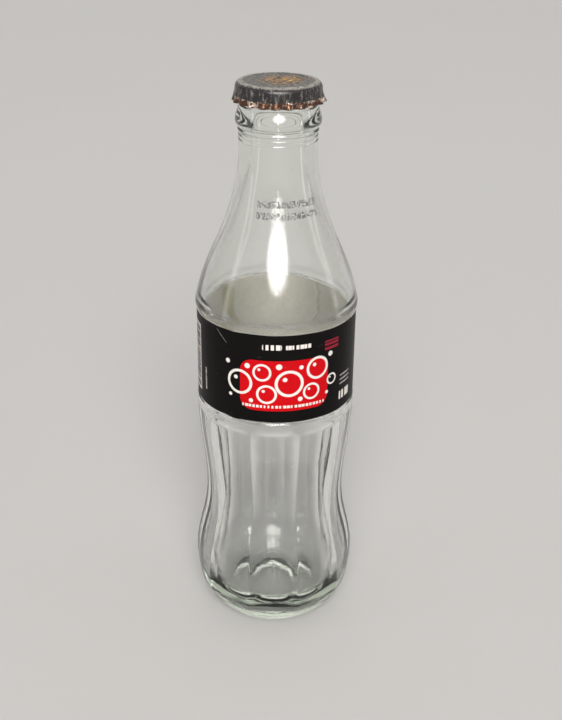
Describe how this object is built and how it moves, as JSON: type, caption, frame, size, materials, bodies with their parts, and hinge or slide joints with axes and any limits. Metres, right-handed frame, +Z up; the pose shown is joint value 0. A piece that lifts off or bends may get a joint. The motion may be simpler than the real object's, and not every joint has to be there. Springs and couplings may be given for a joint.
{
  "type": "glass soda bottle",
  "caption": "Waisted, fluted glass bottle with a wraparound label and a fluted steel crown cap that lifts off its mouth.",
  "frame": {"origin": "middle of the bearing ring that the bottle stands on", "axes": "+Z up along the bottle, -Y out of the middle of the label's front"},
  "size_m": [0.0586, 0.0568, 0.199],
  "materials": {
    "clear_glass": "clear, dusty on the shoulder",
    "label_print": "printed black film, white backed",
    "label_glue": "dried glue",
    "soft_liner": "soft moulded",
    "enamelled_steel": "worn black enamel with rust"
  },
  "bodies": {
    "bottle": {"bottle_glass": "clear_glass", "label": "label_print", "label_pickup_glue": "label_glue", "label_lap_glue": "label_glue"},
    "crown": {"crown_shell": "enamelled_steel", "crown_liner": "soft_liner"}
  },
  "joints": [
    {"name": "crown_lift", "type": "slide", "parent": "bottle", "child": "crown", "axis": [0, 0, 1], "range_m": [0, 0.04]}
  ]
}
